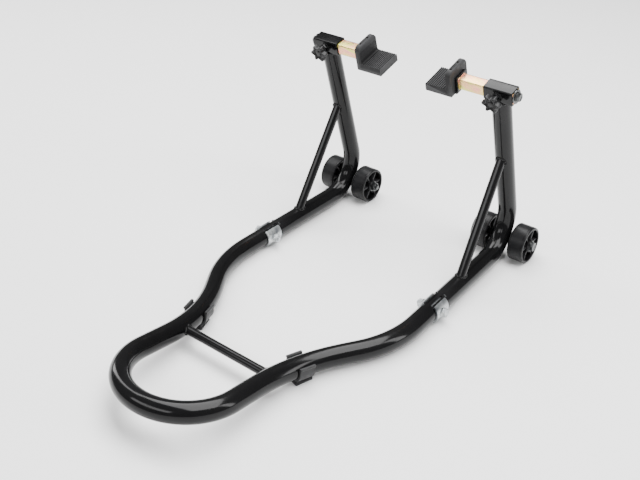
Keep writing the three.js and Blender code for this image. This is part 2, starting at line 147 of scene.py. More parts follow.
def carried_axes(stations):
    """Two axes across each station that turn as little as possible along the path."""
    side, up = axes_of(stations[0][1])
    result = []
    for _, heading in stations:
        side = unit(side - heading * np.dot(side, heading))
        up = np.cross(side, heading)
        result.append((side, up))
    return result


def circle(centre, side, up, radius, sides):
    turns = np.arange(sides) * 2 * math.pi / sides
    return [centre + radius * (math.cos(t) * side + math.sin(t) * up) for t in turns]


def sweep(stations, outer, inner=0.0, sides=48):
    frames = carried_axes(stations)
    skin = [circle(s[0], a, b, outer, sides) for s, (a, b) in zip(stations, frames)]
    if not inner:
        return loft(skin)
    bore = [circle(s[0], a, b, inner, sides) for s, (a, b) in zip(stations, frames)]
    return loft(skin + bore[::-1], closed=True)


def rod(a, b, outer, inner=0.0, sides=32):
    heading = unit(b - a)
    return sweep([(a, heading), (b, heading)], outer, inner, sides)


def turned(profile, sides=64):
    """Closed profile of (along X, radius) turned about the X axis."""
    side, up = vec(0, 1, 0), vec(0, 0, 1)
    open_ends = profile[0][1] == 0
    middle = profile[1:-1] if open_ends else profile
    rings = [circle(vec(x, 0, 0), side, up, r, sides) for x, r in middle]
    return loft(rings, closed=not open_ends, caps=open_ends)


def hex_head(x0, x1, across, bore=0.0, both=False, sides=72):
    """Hexagon prism along X, with its corners turned down at x1, and at x0 too if asked."""
    turns = np.arange(sides) * 2 * math.pi / sides
    sector = math.pi / 3
    reach = [across / 2 / math.cos((t + sector / 2) % sector - sector / 2) for t in turns]
    flat = across * 0.475

    def ring(x, radii):
        return [vec(x, r * math.cos(t), r * math.sin(t)) for r, t in zip(radii, turns)]

    def shoulder(x, way):
        return [vec(x - way * (r - flat) * 0.55, r * math.cos(t), r * math.sin(t))
                for r, t in zip(reach, turns)]

    start = [ring(x0, [flat] * sides), shoulder(x0, -1)] if both else [ring(x0, reach)]
    rings = start + [shoulder(x1, 1), ring(x1, [flat] * sides)]
    if bore:
        rings += [ring(x1, [bore + 0.6] * sides), ring(x1 - 0.6, [bore] * sides)]
        rings += [ring(x0 + 0.6, [bore] * sides), ring(x0, [bore + 0.6] * sides)]
        return loft(rings, closed=True)
    rings += [ring(x1, [across * 0.36] * sides), ring(x1 - 0.25, [across * 0.33] * sides)]
    return loft(rings)


def threaded(x0, x1, radius, pitch, sides=40):
    """Threaded shank along X that ends in a chamfer at x1."""
    profile = [(x0, 0.0), (x0, radius)]
    x = x0 + 0.3
    while x < x1 - pitch - 0.8:
        profile += [(x, radius), (x + pitch * 0.45, radius * 0.9), (x + pitch * 0.55, radius * 0.9)]
        x += pitch
    profile += [(x1 - 0.8, radius * 0.97), (x1, radius * 0.8), (x1, 0.0)]
    return turned(profile, sides)


def plain_shank(x0, x1, radius, sides=40):
    return turned([(x0, 0), (x0, radius), (x1, radius), (x1, 0)], sides)


def ring_plate(x0, x1, outer, inner, round_off=0.35, sides=56):
    r = round_off
    return turned([
        (x0, inner), (x0, outer - r), (x0 + r, outer), (x1 - r, outer), (x1, outer - r),
        (x1, inner + r), (x1 - r, inner), (x0, inner),
    ][:-1], sides)


def rounded_rectangle(half_a, half_b, corner, steps=6):
    points = []
    for quarter, (a, b) in enumerate(((1, 1), (-1, 1), (-1, -1), (1, -1))):
        for t in (quarter + np.linspace(0, 1, steps + 1)) * math.pi / 2:
            points.append((a * (half_a - corner) + corner * math.cos(t),
                           b * (half_b - corner) + corner * math.sin(t)))
    return points


def rounded_square(width, corner, x):
    return [vec(x, a, b) for a, b in rounded_rectangle(width / 2, width / 2, corner)]


def square_tube(x0, x1, width, corner, wall, chamfer=0.4):
    inner, inner_corner = width - 2 * wall, max(corner - wall, 0.5)
    c = chamfer
    rings = [
        rounded_square(width - 2 * c, corner, x0), rounded_square(width, corner, x0 + c),
        rounded_square(width, corner, x1 - c), rounded_square(width - 2 * c, corner, x1),
        rounded_square(inner, inner_corner, x1), rounded_square(inner, inner_corner, x0),
    ]
    return loft(rings, closed=True)


# ----------------------------------------------------------------------- paths
def bent_path(corners, radii, step=math.radians(3)):
    """Stations (point, heading) along a polyline with its inner corners bent round."""
    stations = [(corners[0], unit(corners[1] - corners[0]))]
    for i in range(1, len(corners) - 1):
        inward, outward = unit(corners[i] - corners[i - 1]), unit(corners[i + 1] - corners[i])
        turn = math.acos(np.dot(inward, outward))
        start = corners[i] - inward * radii[i] * math.tan(turn / 2)
        side = unit(outward - inward * np.dot(outward, inward))
        steps = max(2, math.ceil(turn / step))
        for k in range(steps + 1):
            t = turn * k / steps
            at = start + radii[i] * (math.sin(t) * inward + (1 - math.cos(t)) * side)
            stations.append((at, math.cos(t) * inward + math.sin(t) * side))
    stations.append((corners[-1], unit(corners[-1] - corners[-2])))
    return stations


def handle_stations():
    right = [vec(HANDLE_HALF, FRONT_Y, FRONT_Z), vec(HANDLE_HALF, NECK_Y, NECK_Z),
             vec(BOW_HALF, BOW_Y, TUBE_LIFT), vec(lower_x(BUTT_Y), BUTT_Y - 0.1, TUBE_LIFT)]
    left = [p * (-1, 1, 1) for p in right[::-1]]
    grip = HANDLE_HALF - 0.5
    return bent_path(left + right, [0, BOW_RADIUS, NECK_RADIUS, grip, grip, NECK_RADIUS, BOW_RADIUS, 0])


def leg_stations(top):
    return bent_path([vec(lower_x(BUTT_Y), BUTT_Y + 0.1, TUBE_LIFT), vec(HALF_TRACK, HEEL_Y, TUBE_LIFT),
                      vec(upright_x(top), upright_y(top), top)], [0, HEEL_RADIUS, 0])


HANDLE = handle_stations()
LEG = leg_stations(HEAD_Z - SLEEVE / 2 + 0.6)


def gap_to_path(p, stations):
    """Distance from a point to a path's centreline."""
    a = np.array([s[0] for s in stations[:-1]])
    b = np.array([s[0] for s in stations[1:]])
    run = b - a
    share = np.clip(((p - a) * run).sum(1) / (run * run).sum(1), 0, 1)
    return np.linalg.norm(a + run * share[:, None] - p, axis=1).min()


def passing(stations, y):
    """Point and heading of the right-hand side of a path at the given y."""
    for (a, ha), (b, hb) in zip(stations, stations[1:]):
        if a[0] > 0 and b[0] > 0 and (a[1] - y) * (b[1] - y) <= 0 and a[1] != b[1]:
            share = (y - a[1]) / (b[1] - a[1])
            return a + (b - a) * share, unit(ha + (hb - ha) * share)
    raise ValueError("the path does not pass y = %g" % y)


def seam(origin, heading, radius, path, path_radius, reach, steps=48):
    """Where lines on a rod's skin, run along heading from origin, first meet a bent tube."""
    side, up = axes_of(heading)
    points = []
    for t in np.arange(steps) * 2 * math.pi / steps:
        start = origin + radius * (math.cos(t) * side + math.sin(t) * up)
        low, high = 0.0, None
        for travel in np.arange(0.0, reach, 1.0):
            if gap_to_path(start + heading * travel, path) <= path_radius:
                high = travel
                break
            low = travel
        if high is None:
            points.append(None)
            continue
        for _ in range(14):
            middle = (low + high) / 2
            inside = gap_to_path(start + heading * middle, path) <= path_radius
            low, high = (low, middle) if inside else (middle, high)
        points.append(start + heading * high)
    return points


def bead(points, radius=1.9, closed=True, ripple=2.4, sides=10):
    """Weld bead along the points, with the ripples of a hand-laid weld."""
    points = [p for p in points if p is not None]
    if closed:
        points = points + points[:1]
    lengths = np.cumsum([0] + [np.linalg.norm(b - a) for a, b in zip(points, points[1:])])
    count = max(8, int(lengths[-1] / ripple) * 4)
    grid = np.linspace(0, lengths[-1], count + 1)
    fine = np.stack([np.interp(grid, lengths, [p[i] for p in points]) for i in range(3)], 1)
    if closed:
        fine = fine[:-1]
    stations = []
    for i, p in enumerate(fine):
        if closed:
            heading = fine[(i + 1) % len(fine)] - fine[i - 1]
        else:
            heading = fine[min(i + 1, len(fine) - 1)] - fine[max(i - 1, 0)]
        stations.append((p, unit(heading)))
    rings = []
    for i, ((p, _), (side, up)) in enumerate(zip(stations, carried_axes(stations))):
        swell = radius * (1 + 0.16 * math.sin(i * math.pi / 2) + 0.06 * math.sin(i * 0.7))
        if not closed:
            swell *= min(1.0, 0.45 + 0.25 * min(i, len(stations) - 1 - i))
        rings.append(circle(p, side, up, swell, sides))
    return loft(rings, closed=closed)


# ------------------------------------------------------------------- materials
def shader(name, metallic=0.0, coat=0.0, coat_roughness=0.1, specular=0.5):
    material = bpy.data.materials.new(name)
    material.use_nodes = True
    nodes = material.node_tree.nodes
    surface = nodes["Principled BSDF"]
    surface.inputs["Metallic"].default_value = metallic
    surface.inputs["Coat Weight"].default_value = coat
    surface.inputs["Coat Roughness"].default_value = coat_roughness
    surface.inputs["Specular IOR Level"].default_value = specular
    return material, surface


def link(material, a, b):
    material.node_tree.links.new(a, b)


def noise_field(material, scale, detail=4.0, roughness=0.55, stretch=(1, 1, 1), distortion=0.0):
    nodes = material.node_tree.nodes
    place, mapping = nodes.new("ShaderNodeTexCoord"), nodes.new("ShaderNodeMapping")
    mapping.inputs["Scale"].default_value = stretch
    field = nodes.new("ShaderNodeTexNoise")
    field.inputs["Scale"].default_value = scale
    field.inputs["Detail"].default_value = detail
    field.inputs["Roughness"].default_value = roughness
    field.inputs["Distortion"].default_value = distortion
    link(material, place.outputs["Object"], mapping.inputs["Vector"])
    link(material, mapping.outputs["Vector"], field.inputs["Vector"])
    return field.outputs["Fac"]


def ramp(material, value, stops):
    node = material.node_tree.nodes.new("ShaderNodeValToRGB")
    elements = node.color_ramp.elements
    while len(elements) < len(stops):
        elements.new(0.5)
    for element, (at, colour) in zip(elements, stops):
        element.position = at
        element.color = (*colour, 1) if isinstance(colour, tuple) else (colour, colour, colour, 1)
    link(material, value, node.inputs["Fac"])
    return node.outputs["Color"]


def mixed(material, share, a, b):
    node = material.node_tree.nodes.new("ShaderNodeMix")
    node.data_type = "RGBA"
    link(material, share, node.inputs["Factor"])
    for socket, value in ((node.inputs["A"], a), (node.inputs["B"], b)):
        if isinstance(value, tuple):
            socket.default_value = (*value, 1)
        else:
            link(material, value, socket)
    return node.outputs["Result"]


def bumps(material, surface, *layers):
    """Chains bump layers, each (height, strength, distance in metres)."""
    normal = None
    for height, strength, distance in layers:
        node = material.node_tree.nodes.new("ShaderNodeBump")
        node.inputs["Strength"].default_value = strength
        node.inputs["Distance"].default_value = distance
        link(material, height, node.inputs["Height"])
        if normal is not None:
            link(material, normal, node.inputs["Normal"])
        normal = node.outputs["Normal"]
    link(material, normal, surface.inputs["Normal"])


# Pointiness mask: lighter convex edges are real wear; the same mask turned over gives painted shade in
# hollows.
def wear_and_shade_mask(material, low, high):
    geometry = material.node_tree.nodes.new("ShaderNodeNewGeometry")
    return ramp(material, geometry.outputs["Pointiness"], [(low, 0.0), (high, 1.0)])


def black_paint():
    material, surface = shader("black_gloss_paint", coat=0.12, coat_roughness=0.07, specular=0.13)
    cloud = noise_field(material, 9, 4)
    scuff = ramp(material, noise_field(material, 130, 9, 0.78, (1, 0.3, 0.3)), [(0.7, 0.0), (0.84, 1.0)])
    base = ramp(material, cloud, [(0.3, (0.0028, 0.0028, 0.003)), (0.7, (0.0052, 0.0052, 0.0055))])
    colour = mixed(material, scuff, base, (0.014, 0.014, 0.0145))
    worn = mixed(material, wear_and_shade_mask(material, 0.58, 0.7), colour, (0.03, 0.03, 0.031))
    link(material, worn, surface.inputs["Base Color"])
    rough = ramp(material, noise_field(material, 40, 5), [(0.3, 0.1), (0.75, 0.2)])
    link(material, rough, surface.inputs["Roughness"])
    bumps(material, surface, (noise_field(material, 300, 2), 0.025, 0.0004),
          (noise_field(material, 1600, 1), 0.015, 0.0001))
    return material


def silver_zinc(name, tone):
    material, surface = shader(name, metallic=1.0)
    cloud = noise_field(material, 55, 6, 0.6)
    base = ramp(material, cloud, [(at, tuple(c * tone for c in colour)) for at, colour in (
        (0.34, (0.24, 0.255, 0.27)), (0.52, (0.48, 0.5, 0.51)), (0.68, (0.72, 0.74, 0.73)))])
    stain = ramp(material, noise_field(material, 260, 8, 0.7), [(0.56, 0.0), (0.66, 1.0)])
    stained = mixed(material, stain, base, (0.2 * tone, 0.2 * tone, 0.2 * tone))
    # painted shade: hollows and creases found by pointiness are darkened towards 0.05, standing in for the
    # shade that falls there
    recess_shade = ramp(material, wear_and_shade_mask(material, 0.4, 0.5), [(0.0, 1.0), (1.0, 0.0)])
    link(material, mixed(material, recess_shade, stained, (0.05, 0.05, 0.052)), surface.inputs["Base Color"])
    rough = ramp(material, noise_field(material, 160, 5), [(0.3, 0.24), (0.75, 0.44)])
    link(material, rough, surface.inputs["Roughness"])
    bumps(material, surface, (noise_field(material, 900, 3, 0.6, (1, 0.2, 1)), 0.12, 0.0003))
    return material


def yellow_zinc():
    material, surface = shader("yellow_zinc_plate", metallic=1.0)
    drift = noise_field(material, 26, 3, 0.5, (0.6, 1.4, 1.4), 1.2)
    base = ramp(material, drift, [
        (0.28, (0.46, 0.54, 0.11)), (0.4, (0.66, 0.55, 0.17)), (0.5, (0.76, 0.4, 0.24)),
        (0.6, (0.72, 0.3, 0.26)), (0.72, (0.58, 0.56, 0.15))])
    speck = ramp(material, noise_field(material, 420, 6, 0.7), [(0.62, 0.0), (0.8, 1.0)])
    link(material, mixed(material, speck, base, (0.55, 0.4, 0.22)), surface.inputs["Base Color"])
    rough = ramp(material, noise_field(material, 120, 5), [(0.3, 0.2), (0.75, 0.36)])
    link(material, rough, surface.inputs["Roughness"])
    bumps(material, surface, (noise_field(material, 700, 3, 0.6, (0.15, 1, 1)), 0.1, 0.0003))
    return material


def near_black(tone):
    return tone, tone, tone + 0.0005


def moulded(name, dark, light, rough, grain, depth, specular):
    """Moulded rubber or plastic. dark and light are grey levels, rough a range, grain a noise scale."""
    material, surface = shader(name, specular=specular)
    dark, light = (near_black(tone) for tone in (dark, light))
    base = ramp(material, noise_field(material, 35, 6), [(0.3, dark), (0.72, light)])
    dust = ramp(material, noise_field(material, 170, 8, 0.72), [(0.6, 0.0), (0.8, 1.0)])
    colour = mixed(material, dust, base, tuple(c * 2.0 for c in light))
    worn = mixed(material, wear_and_shade_mask(material, 0.53, 0.6), colour, tuple(c * 3.2 for c in light))
    # painted shade: grooves and hollows found by pointiness are darkened to near black, standing in for the
    # shade that falls there
    recess_shade = ramp(material, wear_and_shade_mask(material, 0.4, 0.49), [(0.0, 1.0), (1.0, 0.0)])
    link(material, mixed(material, recess_shade, worn, (0.0012, 0.0012, 0.0012)), surface.inputs["Base Color"])
    rough = ramp(material, noise_field(material, 90, 5), [(0.3, rough[0]), (0.75, rough[1])])
    link(material, rough, surface.inputs["Roughness"])
    bumps(material, surface, (noise_field(material, grain, 3, 0.6), depth, 0.0004),
          (noise_field(material, grain * 3.1, 2), depth * 0.5, 0.0002))
    return material


BLACK, YELLOW = black_paint(), yellow_zinc()
SILVER, FASTENER = silver_zinc("silver_zinc_plate", 1.0), silver_zinc("zinc_fastener", 0.16)
PAD_RUBBER = moulded("pad_rubber", 0.009, 0.017, (0.42, 0.66), 1100, 0.3, 0.13)
FOOT_RUBBER = moulded("foot_rubber", 0.008, 0.014, (0.4, 0.62), 900, 0.22, 0.25)
WHEEL_PLASTIC = moulded("wheel_plastic", 0.004, 0.007, (0.3, 0.45), 700, 0.1, 0.18)
KNOB_PLASTIC = moulded("knob_plastic", 0.005, 0.009, (0.3, 0.48), 1300, 0.2, 0.26)
SLOTS = {"black_paint": BLACK, "silver_zinc": SILVER, "yellow_zinc": YELLOW, "pad_rubber": PAD_RUBBER,
         "foot_rubber": FOOT_RUBBER, "wheel_plastic": WHEEL_PLASTIC, "knob_plastic": KNOB_PLASTIC}


# ---------------------------------------------------------------------- pieces
def finish_normals(mesh, sharp):
    """Turns all faces outwards and smooth, with edges over the angle kept sharp."""
    made = bmesh.new()
    made.from_mesh(mesh)
    bmesh.ops.remove_doubles(made, verts=made.verts, dist=1e-7)
    bmesh.ops.recalc_face_normals(made, faces=made.faces)
    for face in made.faces:
        face.smooth = True
    for edge in made.edges:
        if len(edge.link_faces) == 2:
            edge.smooth = edge.calc_face_angle(0.0) < math.radians(sharp)
    made.to_mesh(mesh)
    made.free()


def raw_object(name, shape):
    mesh = bpy.data.meshes.new(name)
    mesh.from_pydata([tuple(p * MM) for p in shape[0]], [], shape[1])
    mesh.validate()
    thing = bpy.data.objects.new(name, mesh)
    bpy.context.scene.collection.objects.link(thing)
    return thing


def piece(name, shape, slot, body, nodes=(), bevel=0.0, sharp=38.0, finish=None):
    """Makes one object from a shape in mm. bevel is a width in mm, sharp an angle in degrees."""
    thing = raw_object(name, shape)
    finish_normals(thing.data, 181.0 if bevel else sharp)
    thing.data.materials.append(finish or SLOTS[slot])
    if bevel:
        rounding = thing.modifiers.new("edges", "BEVEL")
        rounding.width = bevel * MM
        rounding.segments = 2
        rounding.limit_method = "ANGLE"
        rounding.angle_limit = math.radians(sharp)
        rounding.harden_normals = True
    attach(thing, body)
    if nodes:
        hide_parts(*nodes)
    return thing


def pair(name, shape, slot, body="frame", node=None, suffix="", **style):
    """One right-hand piece and its mirror image. body and node may hold {side}."""
    made = []
    for side, way in SIDES:
        nodes = [node.format(side=side)] if node else []
        made.append(piece(name + "_" + side + suffix, shape if way > 0 else mirrored(shape), slot,
                          body.format(side=side), nodes, **style))
    return made


def tilted_pair(name, shape, slot, body="frame", node=None, **style):
    """A pair whose shape is laid out level about the slide tube's axis."""
    return pair(name, moved(shape, ON_HEAD), slot, body, node, **style)


def joint_place():
    at = vec(lower_x(JOINT_Y), JOINT_Y, TUBE_LIFT)
    turn = math.atan2(BOW_HALF - HALF_TRACK, HEEL_Y - BOW_Y)
    return Matrix.Translation(at) @ Matrix.Rotation(turn, 4, "Z")


def slot_cutters():
    """Round-ended bars that cut the slots in the tops of the handle tube's ends."""
    outline = rounded_rectangle(SLOT_HALF, SLOT_REACH, SLOT_HALF - 0.01, 8)
    bar = loft([[vec(a, b, z) for a, b in outline] for z in (TUBE_R - 5, TUBE_R + 3)])
    turned_bars = [moved(bar, joint_place() @ Matrix.Rotation(way * SLOT_TURN, 4, "Y")) for way in (1, -1)]
    return merge(*turned_bars, *[mirrored(b) for b in turned_bars])


def cut_away(thing, shape, sharp=38.0):
    """Cuts a shape out of an object's mesh for good."""
    tool = raw_object("cutter", shape)
    cut = thing.modifiers.new("cut", "BOOLEAN")
    cut.operation, cut.solver, cut.object = "DIFFERENCE", "EXACT", tool
    graph = bpy.context.evaluated_depsgraph_get()
    mesh = bpy.data.meshes.new_from_object(thing.evaluated_get(graph))
    thing.modifiers.clear()
    thing.data = mesh
    bpy.data.meshes.remove(tool.data)
    finish_normals(mesh, sharp)


def handle():
    shape = sweep(HANDLE, TUBE_R, TUBE_R - TUBE_WALL)
    tube = piece("handle_tube", shape, "black_paint", "frame", ["handle_bar"])
    cut_away(tube, slot_cutters())
    at, _ = passing(HANDLE, CROSSBAR_Y)
    z, reach = at[2], at[0] - TUBE_R + 6
    bar = rod(vec(-reach, CROSSBAR_Y, z), vec(reach, CROSSBAR_Y, z), CROSSBAR_R)
    piece("crossbar_tube", bar, "black_paint", "frame", ["handle_crossbar"])
    right_side = [s for s in HANDLE if s[0][0] > 20]
    curve = seam(vec(40, CROSSBAR_Y, z), vec(1, 0, 0), CROSSBAR_R, right_side, TUBE_R, 70)
    pair("crossbar_weld", bead(curve), "black_paint")


def foot():
    """Moulded clip that hugs the tube between two lipped arms, with a narrow sole."""
    at, heading = passing(HANDLE, FOOT_Y)
    turn = math.atan2(-heading[0], heading[1])
    slope = math.atan2(heading[2], math.hypot(heading[0], heading[1]))
    mouth, arm, top = TUBE_R + 0.15, FOOT_HALF - 0.4, FOOT_ARM
    sole_turn = math.acos(SOLE_HALF / arm)
    outline = [(arm * math.cos(t), arm * math.sin(t)) for t in np.linspace(-sole_turn, 0, 12)]
    outline += [(arm, top - 4.2), (arm + 1.4, top - 3.4), (arm + 1.4, top - 0.8), (arm + 0.6, top),
                (mouth + 0.9, top), (mouth, top - 1.2)]
    outline += [(mouth * math.cos(t), mouth * math.sin(t)) for t in np.linspace(0, -math.pi / 2, 17)]
    outline += [(-u, w) for u, w in outline[-2::-1]]
    half = FOOT_LENGTH / 2 - 0.4
    clip = loft([[vec(u, v, w) for u, w in outline] for v in (-half, half)])
    clip = moved(clip, Matrix.Translation((0, 0, at[2])) @ Matrix.Rotation(slope, 4, "X"))
    low = arm * math.sin(sole_turn) - at[2]
    rings = []
    for z, inset, edge in ((0.0, 0.8, 1.8), (0.8, 0.0, 2.4), (3.4, 0.0, 2.4), (4.2, 1.2, 2.0),
                           (-low + 1.5, 1.2, 2.0)):
        rings.append([vec(a, b, z) for a, b in rounded_rectangle(
            SOLE_HALF + 1.4 - inset, FOOT_LENGTH / 2 + 1.4 - inset, edge)])
    place = Matrix.Translation((at[0], at[1], 0)) @ Matrix.Rotation(turn, 4, "Z")
    pair("foot_clip", moved(clip, place), "foot_rubber", node="foot_saddle_{side}", bevel=0.45)
    pair("foot_sole", moved(loft(rings), place), "foot_rubber")


def saddle_plate():
    """Curved plate with rounded corners that wraps one side of the bolted joint."""
    corner = 2.0
    reach = SHELL_WRAP * SHELL_R
    rings = []
    for a in SHELL_WRAP * np.sin(np.linspace(-1, 1, 49) * math.pi / 2):
        edge = max(0.0, corner - (reach - abs(a) * SHELL_R))
        half = SHELL_HALF - corner + math.sqrt(max(corner ** 2 - edge ** 2, 0.0))
        across = vec(math.cos(a), 0, math.sin(a))
        rings.append([across * SHELL_BORE - vec(0, half, 0), across * SHELL_R - vec(0, half, 0),
                      across * SHELL_R + vec(0, half, 0), across * SHELL_BORE + vec(0, half, 0)])
    return loft(rings)


def joint():
    place = joint_place()
    half_turn = Matrix.Rotation(math.pi, 4, "Z")
    plate = saddle_plate()
    pair("saddle_plate", moved(plate, place), "silver_zinc", node="joint_saddle_{side}_outer",
         suffix="_outer", bevel=0.5)
    pair("saddle_plate", moved(plate, place @ half_turn), "silver_zinc", node="joint_saddle_{side}_inner",
         suffix="_inner", bevel=0.5)
    seat = SHELL_R + 0.1
    head = merge(ring_plate(seat, seat + 1.5, 8.0, 4.1), hex_head(seat + 1.5, seat + 6.8, 13))
    shank = moved(threaded(-seat + 1, seat + 10.0, 3.95, 1.25), half_turn)
    pair("clamp_bolt", moved(merge(head, shank), place), "silver_zinc", node="joint_bolt_{side}")
    nut = merge(ring_plate(seat, seat + 1.4, 8.0, 4.1), hex_head(seat + 1.4, seat + 7.2, 13, 4.0, True))
    pair("clamp_nut", moved(nut, place @ half_turn), "silver_zinc", node="joint_nut_{side}")
    spots = []
    for turn in (-150, -95, -28, 28, 95, 150):
        t = math.radians(turn)
        arc = [vec(TUBE_R * math.sin(t + k), BUTT_Y - JOINT_Y + 2.2, TUBE_R * math.cos(t + k))
               for k in (-0.16, -0.08, 0.0, 0.08, 0.16)]
        spots.append(bead(arc, 1.4, closed=False, ripple=1.6))
    pair("weld_spots", moved(merge(*spots), place), "silver_zinc", finish=FASTENER)


def leg():
    shape = sweep(LEG, TUBE_R, TUBE_R - TUBE_WALL)
    up = vec(0, -math.sin(TILT), math.cos(TILT))
    centre = vec(HEAD_X, HEAD_Y, HEAD_Z)
    points = []
    for p in shape[0]:
        if p[2] > LEG[-2][0][2] + 60:
            rise = -SLEEVE / 2 + 0.4 - (p - centre) @ up
            p = p + LEG[-1][1] * rise / (LEG[-1][1] @ up)
        points.append(p)
    pair("leg_tube", (points, shape[1]), "black_paint", node="side_leg_{side}")

    top = vec(upright_x(BRACE_TOP_Z), upright_y(BRACE_TOP_Z), BRACE_TOP_Z)
    low = vec(lower_x(BRACE_FOOT_Y), BRACE_FOOT_Y, TUBE_LIFT)
    along = unit(top - low)
    pair("brace_tube", rod(low + along * 6, top - along * 6, BRACE_R), "black_paint", node="leg_brace_{side}")
    middle = (top + low) / 2
    for name, way in (("brace_top_weld", 1), ("brace_foot_weld", -1)):
        curve = seam(middle, along * way, BRACE_R, LEG, TUBE_R, 140)
        pair(name, bead(curve, 2.1), "black_paint")

    boss = ring_plate(-BOSS_HALF, BOSS_HALF, BOSS_R, AXLE_R + GAP, 0.6)
    pair("axle_boss_tube", shifted(boss, HALF_TRACK, AXLE_Y, WHEEL_R), "black_paint", node="axle_boss_{side}")
    for name, way in (("boss_weld_outer", 1), ("boss_weld_inner", -1)):
        start = vec(HALF_TRACK + way * BOSS_HALF, AXLE_Y, WHEEL_R)
        curve = seam(start, vec(-way, 0, 0), BOSS_R, LEG, TUBE_R, BOSS_HALF)
        first = next(i for i in range(len(curve)) if curve[i] is not None and curve[i - 1] is None)
        curve = curve[first:] + curve[:first]
        pair(name, bead(curve, 0.7, closed=False, ripple=0.5), "black_paint")


def wheel_shape():
    half = WHEEL_WIDTH / 2
    rim = WHEEL_R - 5
    profile = [(-half + 0.5, 7.3), (-half, 7.8), (-half, 10.2), (-half + 0.8, 11.0), (-3.6, 11.4),
               (-2.5, 12.4), (-2.5, rim - 1.4), (-3.6, rim - 0.2), (-half + 0.8, rim + 0.3),
               (-half, rim + 1.0), (-half, WHEEL_R - 2.2)]
    profile += [(-half + 2.2 - 2.2 * math.cos(t), WHEEL_R - 2.2 + 2.2 * math.sin(t))
                for t in np.linspace(0.3, math.pi / 2, 5)]
    profile += [(-half + 3.4, WHEEL_R), (-half + 3.7, WHEEL_R - 0.35), (-half + 4.2, WHEEL_R - 0.35),
                (-half + 4.5, WHEEL_R)]
    profile += [(-x, r) for x, r in profile[::-1]]
    body = turned(profile, 96)
    ribs = []
    for i in range(6):
        for way in (-1, 1):
            corners = []
            for x, wide, r0, r1 in ((2.2, 1.5, 10.6, rim), (half - 3.2, 1.0, 10.8, rim + 0.5)):
                corners.append([vec(way * x, r0, -wide), vec(way * x, r1, -wide),
                                vec(way * x, r1, wide), vec(way * x, r0, wide)])
            ribs.append(moved(loft(corners), Matrix.Rotation(i * math.pi / 3, 4, "X")))
    return merge(body, *ribs)


def wheels():
    shape = wheel_shape()
    at = BOSS_HALF + GAP + WHEEL_WIDTH / 2
    washer = BOSS_HALF + WHEEL_WIDTH + 2 * GAP
    for where, way in (("outer", 1), ("inner", -1)):
        suffix = "_" + where
        body = "{side}_" + where + "_wheel"
        x = HALF_TRACK + way * at
        pair("ribbed_wheel", shifted(shape, x, AXLE_Y, WHEEL_R), "wheel_plastic", body,
             "wheel_{side}_" + where, suffix)
        bush = ring_plate(-WHEEL_WIDTH / 2 - 0.1, WHEEL_WIDTH / 2 + 0.1, 7.15, AXLE_R + 0.25)
        pair("steel_bush", shifted(bush, x, AXLE_Y, WHEEL_R), "silver_zinc", body,
             "wheel_bush_{side}_" + where, suffix, finish=FASTENER)
        ends = sorted((way * washer, way * (washer + 1.5)))
        plate = ring_plate(*ends, 10, 5.2)
        pair("axle_washer_plate", shifted(plate, HALF_TRACK, AXLE_Y, WHEEL_R), "silver_zinc", "frame",
             "axle_washer_{side}_" + where, suffix, finish=FASTENER)
    seat = washer + 1.5 + GAP
    head = merge(ring_plate(seat - 0.1, seat + 1.0, 8.6, 4.0), hex_head(seat + 0.9, seat + 5.0, 15),
                 plain_shank(seat - 4, seat + 1, AXLE_R - 0.05))
    half_turn = Matrix.Rotation(math.pi, 4, "Z")
    shank = moved(merge(plain_shank(-seat, seat - 12, AXLE_R - 0.05),
                        threaded(seat - 12, seat + 10, AXLE_R - 0.1, 1.5)), half_turn)
    pair("axle_through_bolt", shifted(merge(head, shank), HALF_TRACK, AXLE_Y, WHEEL_R), "silver_zinc",
         node="axle_bolt_{side}", finish=FASTENER)
    nut = moved(merge(hex_head(seat, seat + 5.6, 16, AXLE_R + 0.05, True),
                      ring_plate(seat + 5.2, seat + 7.8, 6.9, AXLE_R + 0.05, 0.9)), half_turn)
    pair("axle_lock_nut", shifted(nut, HALF_TRACK, AXLE_Y, WHEEL_R), "silver_zinc",
         node="axle_nut_{side}", finish=FASTENER)


def star_knob():
    """Six-lobed knob about the Y axis, its hub at y = 0 and its dished face at y = -16."""
    turns = np.arange(120) * 2 * math.pi / 120
    lobes = [KNOB_R + 3.1 * math.cos(6 * t) + 0.35 * math.cos(12 * t) for t in turns]
    rings = []
    for y, size, lobed in KNOB_PROFILE:
        radii = [lobe * size if lobed == 1 else size * (1 + lobed * (lobe / KNOB_R - 1)) for lobe in lobes]
        rings.append([vec(r * math.cos(t), y, r * math.sin(t)) for r, t in zip(radii, turns)])
    return loft(rings)


def head():
    sleeve = square_tube(HEAD_X - SLEEVE_LENGTH / 2, SLEEVE_OUT, SLEEVE, 2.6, 2.0)
    tilted_pair("square_sleeve", sleeve, "black_paint", node="head_sleeve_{side}")
    loop = []
    for t in np.arange(60) * 2 * math.pi / 60:
        across = min(max(TUBE_R * math.sin(t), 1.5 - SLEEVE / 2), SLEEVE / 2 - 1.5)
        loop.append(vec(HEAD_X + TUBE_R * math.cos(t), across, -SLEEVE / 2 - 0.3))
    tilted_pair("sleeve_weld", bead(loop, 2.0), "black_paint")

    onto_front = Matrix.Translation((HEAD_X, -SLEEVE / 2, -KNOB_DROP)) @ Matrix.Rotation(-math.pi / 2, 4, "Z")
    nut = moved(hex_head(-0.2, BOSS_DEPTH + GAP, 14, 4.1), onto_front)
    tilted_pair("weld_nut", nut, "black_paint", node="knob_boss_{side}")
    loop = [vec(0.2, 7.6 * math.cos(t), 7.6 * math.sin(t)) for t in np.arange(36) * math.pi / 18]
    tilted_pair("weld_nut_bead", moved(bead(loop, 1.1, ripple=1.8), onto_front), "black_paint")
    stud = moved(threaded(-2.0, 16.0, 3.95, 1.25), onto_front)
    tilted_pair("threaded_stud", stud, "silver_zinc", "{side}_knob_stud", "knob_stud_{side}")
    knob = shifted(star_knob(), HEAD_X, -SLEEVE / 2 - GAP - BOSS_DEPTH - 2, -KNOB_DROP)
    tilted_pair("star_knob", knob, "knob_plastic", "{side}_knob", "knob_{side}", sharp=50)


